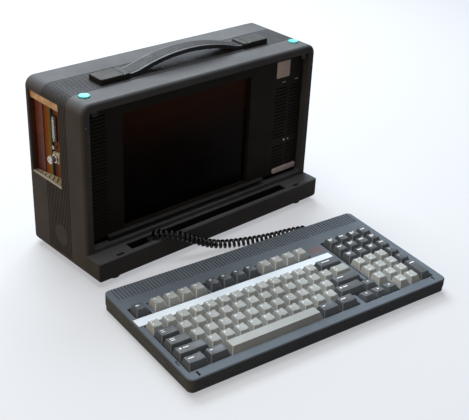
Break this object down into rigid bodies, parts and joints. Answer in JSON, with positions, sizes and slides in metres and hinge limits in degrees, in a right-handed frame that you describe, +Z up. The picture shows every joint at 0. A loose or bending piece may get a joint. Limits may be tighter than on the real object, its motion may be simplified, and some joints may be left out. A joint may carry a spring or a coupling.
{
  "type": "luggable computer",
  "caption": "Luggable computer: ribbed case with springy handle, display tilting in a recess, open card bay, and a detached keyboard on a curly cord.",
  "frame": {"origin": "middle of the footprint of the main unit and the keyboard together, on the desk", "axes": "+X to the right along the case's front, +Y to the back, +Z up; the screen faces -Y"},
  "size_m": [0.445, 0.4366, 0.2559],
  "materials": {
    "case_plastic": "fine texture",
    "panel_plastic": "fine texture",
    "keyboard_plastic": "fine texture",
    "key_light": "satin",
    "key_dark": "satin",
    "strip_white": "smooth",
    "cyan_button": "glossy",
    "strap_rubber": "matt",
    "feet_rubber": "matt",
    "cord_rubber": "satin",
    "black_plastic": "satin",
    "dark_filter": "smooth",
    "panel_glass": "smooth",
    "lamp_plastic": "glossy",
    "cage_steel": "plated",
    "inner_steel": "plated",
    "connector_metal": "plated",
    "circuit_board": "lacquered"
  },
  "bodies": {
    "unit": {"main_housing": "case_plastic", "rear_cover": "case_plastic", "side_disc": "case_plastic", "unit_feet": "feet_rubber", "handle_strap": "strap_rubber", "handle_end_left": "case_plastic", "handle_end_right": "case_plastic", "display_hinge_pins": "inner_steel", "card_cage": "cage_steel", "expansion_card_front": "circuit_board", "expansion_card_rear": "circuit_board", "card_connector": "connector_metal", "slot_cover": "cage_steel", "main_board": "circuit_board", "power_supply": "inner_steel", "disk_drive": "black_plastic", "keyboard_socket": "black_plastic", "cord_plug": "cord_rubber", "curly_cord": "cord_rubber"},
    "display": {"display_bezel": "panel_plastic", "display_back_cover": "panel_plastic", "screen_filter": "dark_filter", "plasma_panel": "panel_glass", "display_lip": "case_plastic", "indicator_leds": "lamp_plastic"},
    "latch_button_left": {"latch_button_left": "cyan_button"},
    "latch_button_right": {"latch_button_right": "cyan_button"},
    "latch_hook_left": {"latch_hook_left": "inner_steel"},
    "latch_hook_right": {"latch_hook_right": "inner_steel"},
    "drive_lever": {"drive_lever": "black_plastic"},
    "power_switch": {"power_switch": "black_plastic"},
    "keyboard": {"keyboard_top_shell": "keyboard_plastic", "keyboard_bottom_shell": "keyboard_plastic", "keyboard_feet": "feet_rubber", "key_plate": "inner_steel", "keyboard_board": "circuit_board", "label_strip": "strip_white", "cord_sleeve": "cord_rubber"},
    "key_space": {"key_space": "key_light"},
    "key_keypad_enter": {"key_keypad_enter": "key_dark"},
    "key_escape": {"key_escape": "key_dark"},
    "keys_f1_to_f4": {"keys_f1_to_f4": "key_light"},
    "keys_f5_to_f8": {"keys_f5_to_f8": "key_dark"},
    "keys_f9_to_f12": {"keys_f9_to_f12": "key_light"},
    "keys_number_row": {"keys_number_row": "key_light"},
    "key_backspace": {"key_backspace": "key_dark"},
    "key_tab": {"key_tab": "key_dark"},
    "keys_upper_letters": {"keys_upper_letters": "key_light"},
    "key_caps_lock": {"key_caps_lock": "key_dark"},
    "keys_home_letters": {"keys_home_letters": "key_light"},
    "key_enter": {"key_enter": "key_dark"},
    "key_shift_left": {"key_shift_left": "key_dark"},
    "keys_lower_letters": {"keys_lower_letters": "key_light"},
    "key_shift_right": {"key_shift_right": "key_dark"},
    "keys_control_and_alt": {"keys_control_and_alt": "key_dark"},
    "keys_cursor": {"keys_cursor": "key_dark"},
    "keys_navigation": {"keys_navigation": "key_dark"},
    "keys_keypad_numbers": {"keys_keypad_numbers": "key_light"},
    "keys_keypad_operators": {"keys_keypad_operators": "key_dark"}
  },
  "joints": [
    {"name": "display_tilt", "type": "hinge", "parent": "unit", "child": "display", "pos_m": [0.02097, 0.10628, 0.219], "axis": [-1, 0, 0], "range_deg": [0, 15]},
    {"name": "drive_lever_turn", "type": "hinge", "parent": "unit", "child": "drive_lever", "pos_m": [0.21997, 0.16378, 0.134], "axis": [-1, 0, 0], "range_deg": [0, 90]},
    {"name": "power_switch_rock", "type": "hinge", "parent": "unit", "child": "power_switch", "pos_m": [0.18597, 0.21188, 0.03], "axis": [1, 0, 0], "range_deg": [-8, 8]},
    {"name": "keyboard_pull", "type": "slide", "parent": "unit", "child": "keyboard", "axis": [0, -1, 0], "range_m": [-0.02, 0.05], "deforming": ["curly_cord"]},
    {"name": "latch_button_left_press", "type": "slide", "parent": "unit", "child": "latch_button_left", "axis": [0, 0, -1], "range_m": [0, 0.0025], "stiffness_N_per_m": 300, "springref_m": -0.002},
    {"name": "latch_hook_left_draw", "type": "slide", "parent": "unit", "child": "latch_hook_left", "axis": [0, 1, 0], "range_m": [0, 0.0025]},
    {"name": "latch_button_right_press", "type": "slide", "parent": "unit", "child": "latch_button_right", "axis": [0, 0, -1], "range_m": [0, 0.0025], "stiffness_N_per_m": 300, "springref_m": -0.002},
    {"name": "latch_hook_right_draw", "type": "slide", "parent": "unit", "child": "latch_hook_right", "axis": [0, 1, 0], "range_m": [0, 0.0025]},
    {"name": "key_space_press", "type": "slide", "parent": "keyboard", "child": "key_space", "axis": [0.0029, 0.023, -0.9997], "range_m": [0, 0.0038], "stiffness_N_per_m": 200, "springref_m": -0.004},
    {"name": "key_keypad_enter_press", "type": "slide", "parent": "keyboard", "child": "key_keypad_enter", "axis": [0.0029, 0.023, -0.9997], "range_m": [0, 0.0038], "stiffness_N_per_m": 200, "springref_m": -0.004},
    {"name": "key_escape_press", "type": "slide", "parent": "keyboard", "child": "key_escape", "axis": [0.0029, 0.023, -0.9997], "range_m": [0, 0.0038], "stiffness_N_per_m": 200, "springref_m": -0.004},
    {"name": "keys_f1_to_f4_press", "type": "slide", "parent": "keyboard", "child": "keys_f1_to_f4", "axis": [0.0029, 0.023, -0.9997], "range_m": [0, 0.0038], "stiffness_N_per_m": 200, "springref_m": -0.004},
    {"name": "keys_f5_to_f8_press", "type": "slide", "parent": "keyboard", "child": "keys_f5_to_f8", "axis": [0.0029, 0.023, -0.9997], "range_m": [0, 0.0038], "stiffness_N_per_m": 200, "springref_m": -0.004},
    {"name": "keys_f9_to_f12_press", "type": "slide", "parent": "keyboard", "child": "keys_f9_to_f12", "axis": [0.0029, 0.023, -0.9997], "range_m": [0, 0.0038], "stiffness_N_per_m": 200, "springref_m": -0.004},
    {"name": "keys_number_row_press", "type": "slide", "parent": "keyboard", "child": "keys_number_row", "axis": [0.0029, 0.023, -0.9997], "range_m": [0, 0.0038], "stiffness_N_per_m": 200, "springref_m": -0.004},
    {"name": "key_backspace_press", "type": "slide", "parent": "keyboard", "child": "key_backspace", "axis": [0.0029, 0.023, -0.9997], "range_m": [0, 0.0038], "stiffness_N_per_m": 200, "springref_m": -0.004},
    {"name": "key_tab_press", "type": "slide", "parent": "keyboard", "child": "key_tab", "axis": [0.0029, 0.023, -0.9997], "range_m": [0, 0.0038], "stiffness_N_per_m": 200, "springref_m": -0.004},
    {"name": "keys_upper_letters_press", "type": "slide", "parent": "keyboard", "child": "keys_upper_letters", "axis": [0.0029, 0.023, -0.9997], "range_m": [0, 0.0038], "stiffness_N_per_m": 200, "springref_m": -0.004},
    {"name": "key_caps_lock_press", "type": "slide", "parent": "keyboard", "child": "key_caps_lock", "axis": [0.0029, 0.023, -0.9997], "range_m": [0, 0.0038], "stiffness_N_per_m": 200, "springref_m": -0.004},
    {"name": "keys_home_letters_press", "type": "slide", "parent": "keyboard", "child": "keys_home_letters", "axis": [0.0029, 0.023, -0.9997], "range_m": [0, 0.0038], "stiffness_N_per_m": 200, "springref_m": -0.004},
    {"name": "key_enter_press", "type": "slide", "parent": "keyboard", "child": "key_enter", "axis": [0.0029, 0.023, -0.9997], "range_m": [0, 0.0038], "stiffness_N_per_m": 200, "springref_m": -0.004},
    {"name": "key_shift_left_press", "type": "slide", "parent": "keyboard", "child": "key_shift_left", "axis": [0.0029, 0.023, -0.9997], "range_m": [0, 0.0038], "stiffness_N_per_m": 200, "springref_m": -0.004},
    {"name": "keys_lower_letters_press", "type": "slide", "parent": "keyboard", "child": "keys_lower_letters", "axis": [0.0029, 0.023, -0.9997], "range_m": [0, 0.0038], "stiffness_N_per_m": 200, "springref_m": -0.004},
    {"name": "key_shift_right_press", "type": "slide", "parent": "keyboard", "child": "key_shift_right", "axis": [0.0029, 0.023, -0.9997], "range_m": [0, 0.0038], "stiffness_N_per_m": 200, "springref_m": -0.004},
    {"name": "keys_control_and_alt_press", "type": "slide", "parent": "keyboard", "child": "keys_control_and_alt", "axis": [0.0029, 0.023, -0.9997], "range_m": [0, 0.0038], "stiffness_N_per_m": 200, "springref_m": -0.004},
    {"name": "keys_cursor_press", "type": "slide", "parent": "keyboard", "child": "keys_cursor", "axis": [0.0029, 0.023, -0.9997], "range_m": [0, 0.0038], "stiffness_N_per_m": 200, "springref_m": -0.004},
    {"name": "keys_navigation_press", "type": "slide", "parent": "keyboard", "child": "keys_navigation", "axis": [0.0029, 0.023, -0.9997], "range_m": [0, 0.0038], "stiffness_N_per_m": 200, "springref_m": -0.004},
    {"name": "keys_keypad_numbers_press", "type": "slide", "parent": "keyboard", "child": "keys_keypad_numbers", "axis": [0.0029, 0.023, -0.9997], "range_m": [0, 0.0038], "stiffness_N_per_m": 200, "springref_m": -0.004},
    {"name": "keys_keypad_operators_press", "type": "slide", "parent": "keyboard", "child": "keys_keypad_operators", "axis": [0.0029, 0.023, -0.9997], "range_m": [0, 0.0038], "stiffness_N_per_m": 200, "springref_m": -0.004}
  ],
  "couplings": [
    {"joint": "latch_hook_left_draw", "follows": "latch_button_left_press", "ratio": 1},
    {"joint": "latch_hook_right_draw", "follows": "latch_button_right_press", "ratio": 1}
  ]
}
